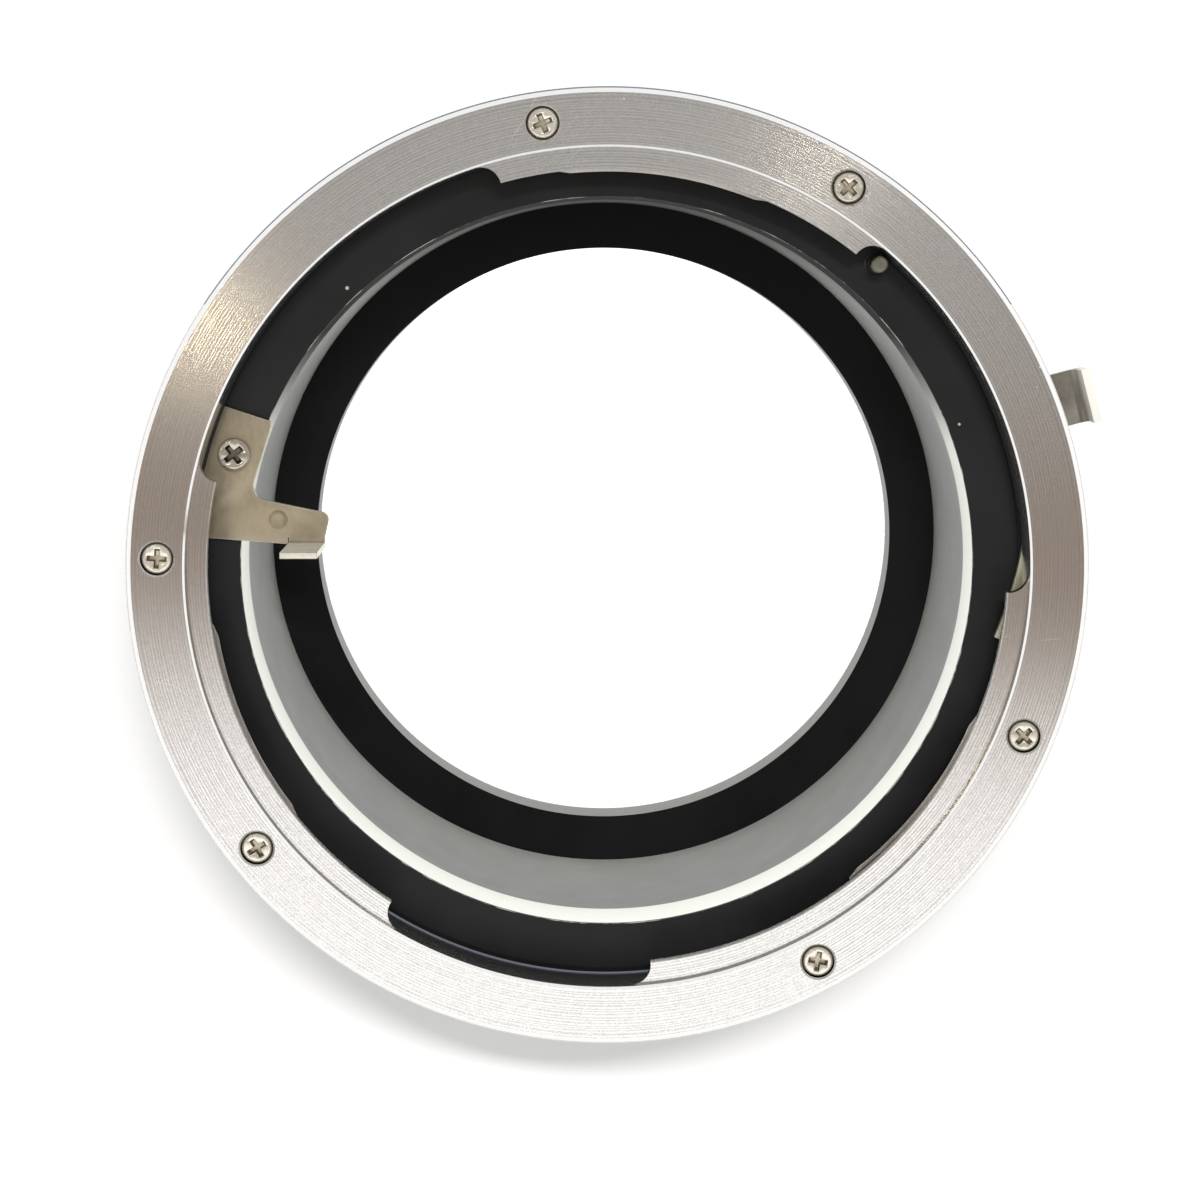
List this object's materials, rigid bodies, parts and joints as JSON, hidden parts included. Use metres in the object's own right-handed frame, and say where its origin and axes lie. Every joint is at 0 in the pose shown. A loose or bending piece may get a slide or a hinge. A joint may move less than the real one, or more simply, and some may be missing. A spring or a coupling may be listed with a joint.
{
  "type": "lens mount adapter",
  "caption": "Round tube that carries a medium-format bayonet lens on a small-format camera: turned lens flange with lugs, black bore, lock lever, aperture bracket and camera bayonet.",
  "frame": {"origin": "on the optical axis at the rear end of the camera bayonet, which it stands on", "axes": "+Z along the optical axis towards the lens; +X to the side that the lock lever stands out of"},
  "size_m": [0.074, 0.073, 0.034],
  "materials": {
    "black_anodised": "satin black anodised, with a bare turned band at the mouth of the bore",
    "turned_chrome": "satin chrome over brass, turned in fine rings",
    "camera_chrome": "satin chrome outside, black inside",
    "nickel_screw": "bright nickel plate",
    "nickel_sheet": "matt nickel-plated sheet, warm grey",
    "spring_steel": "bare spring steel",
    "index_enamel": "red enamel in a drilled recess"
  },
  "bodies": {
    "adapter": {"adapter_body": "black_anodised", "lens_mount_ring": "turned_chrome", "lens_mount_screws": "nickel_screw", "lens_stop_pin": "nickel_screw", "lock_pivot_pin": "nickel_screw", "lock_spring": "spring_steel", "aperture_bracket": "nickel_sheet", "aperture_bracket_screw": "nickel_screw", "camera_mount_ring": "camera_chrome", "camera_mount_screws": "nickel_screw", "lens_index_dot": "index_enamel", "camera_index_dot": "index_enamel", "bayonet_spring_1": "spring_steel", "bayonet_spring_2": "spring_steel", "bayonet_spring_3": "spring_steel"},
    "lock_lever": {"lock_lever": "nickel_sheet"}
  },
  "joints": [
    {"name": "lock_release", "type": "hinge", "parent": "adapter", "child": "lock_lever", "pos_m": [0.03338, 0.00529, 0.02775], "axis": [0, 0, 1], "range_deg": [0, 12.3], "stiffness_Nm_per_rad": 0.05, "springref_deg": -8.59, "deforming": ["lock_spring"]}
  ]
}
